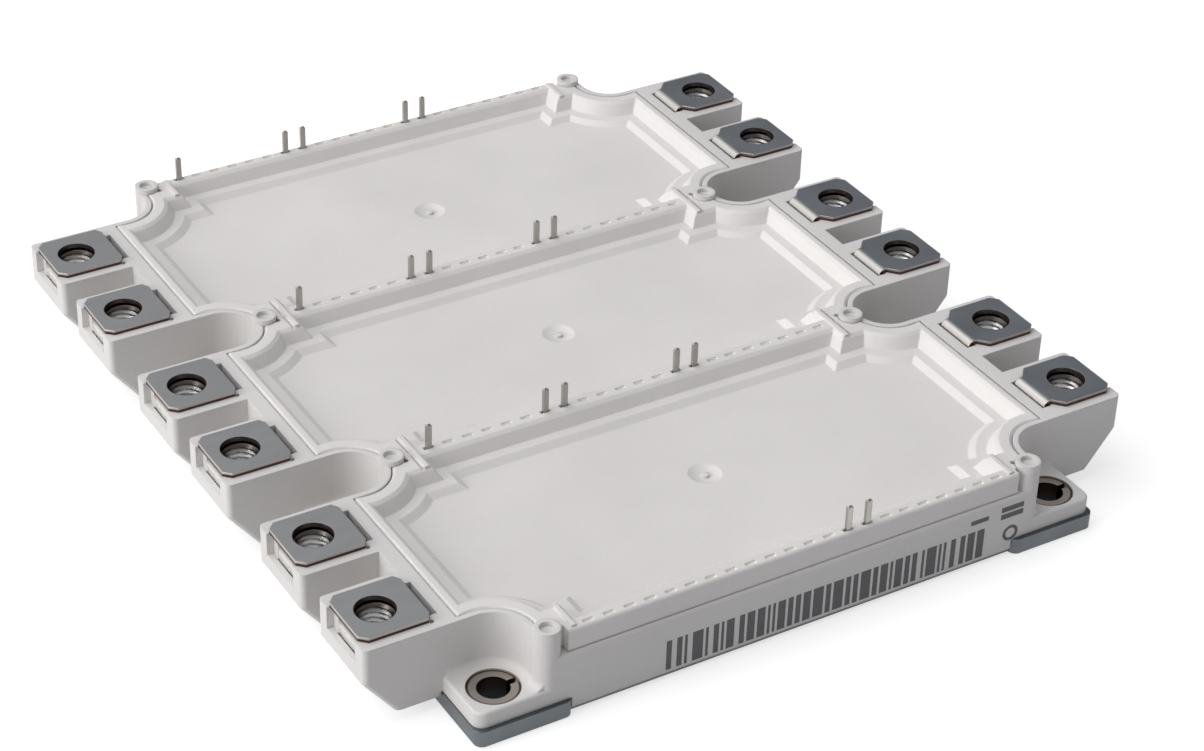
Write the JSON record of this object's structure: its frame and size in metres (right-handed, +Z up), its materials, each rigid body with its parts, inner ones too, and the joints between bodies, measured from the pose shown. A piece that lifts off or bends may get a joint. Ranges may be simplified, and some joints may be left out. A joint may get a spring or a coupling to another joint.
{
  "type": "igbt module",
  "caption": "Flat power semiconductor module: metal base plate, off-white moulded frame with screw terminals along both sides, tray-shaped lid, and contact pins in slotted rails.",
  "frame": {"origin": "middle of the base plate's underside", "axes": "+Z up out of the lid, +X to the right-hand row of terminals, +Y along the three phases"},
  "size_m": [0.1492, 0.162, 0.021],
  "materials": {
    "plate_metal": "satin nickel plating on copper",
    "frame_plastic": "fine matte moulding, off-white",
    "lid_plastic": "fine matte moulding, off-white",
    "bush_steel": "plain rolled steel",
    "nut_steel": "bright nickel plating",
    "terminal_metal": "matte plated copper sheet",
    "pin_metal": "satin plated",
    "tile_ceramic": "matte white",
    "bare_copper": "matte copper",
    "silicon": "metallised chip face",
    "wire_aluminium": "drawn wire",
    "soft_gel": "clear soft silicone",
    "sensor_ceramic": "matte"
  },
  "bodies": {
    "root": {"base_plate": "plate_metal", "bond_wires_back": "wire_aluminium", "bond_wires_front": "wire_aluminium", "bond_wires_middle": "wire_aluminium", "ceramic_tile_back": "tile_ceramic", "ceramic_tile_front": "tile_ceramic", "ceramic_tile_middle": "tile_ceramic", "diode_chips_back": "silicon", "diode_chips_front": "silicon", "diode_chips_middle": "silicon", "gel_back": "soft_gel", "gel_front": "soft_gel", "gel_middle": "soft_gel", "housing_frame": "frame_plastic", "lid": "lid_plastic", "lower_copper_back": "bare_copper", "lower_copper_front": "bare_copper", "lower_copper_middle": "bare_copper", "mounting_bushes": "bush_steel", "ntc_thermistor": "sensor_ceramic", "pin_back_01": "pin_metal", "pin_back_07": "pin_metal", "pin_back_08": "pin_metal", "pin_back_14": "pin_metal", "pin_back_15": "pin_metal", "pin_back_mid_01": "pin_metal", "pin_back_mid_07": "pin_metal", "pin_back_mid_08": "pin_metal", "pin_back_mid_14": "pin_metal", "pin_back_mid_15": "pin_metal", "pin_front_14": "pin_metal", "pin_front_15": "pin_metal", "pin_front_mid_01": "pin_metal", "pin_front_mid_07": "pin_metal", "pin_front_mid_08": "pin_metal", "pin_front_mid_14": "pin_metal", "pin_front_mid_15": "pin_metal", "terminal_left_back_a": "terminal_metal", "terminal_left_back_b": "terminal_metal", "terminal_left_front_a": "terminal_metal", "terminal_left_front_b": "terminal_metal", "terminal_left_middle_a": "terminal_metal", "terminal_left_middle_b": "terminal_metal", "terminal_nuts": "nut_steel", "terminal_right_back_a": "terminal_metal", "terminal_right_back_b": "terminal_metal", "terminal_right_front_a": "terminal_metal", "terminal_right_front_b": "terminal_metal", "terminal_right_middle_a": "terminal_metal", "terminal_right_middle_b": "terminal_metal", "transistor_chips_back": "silicon", "transistor_chips_front": "silicon", "transistor_chips_middle": "silicon", "upper_copper_back": "bare_copper", "upper_copper_front": "bare_copper", "upper_copper_middle": "bare_copper"}
  },
  "joints": []
}
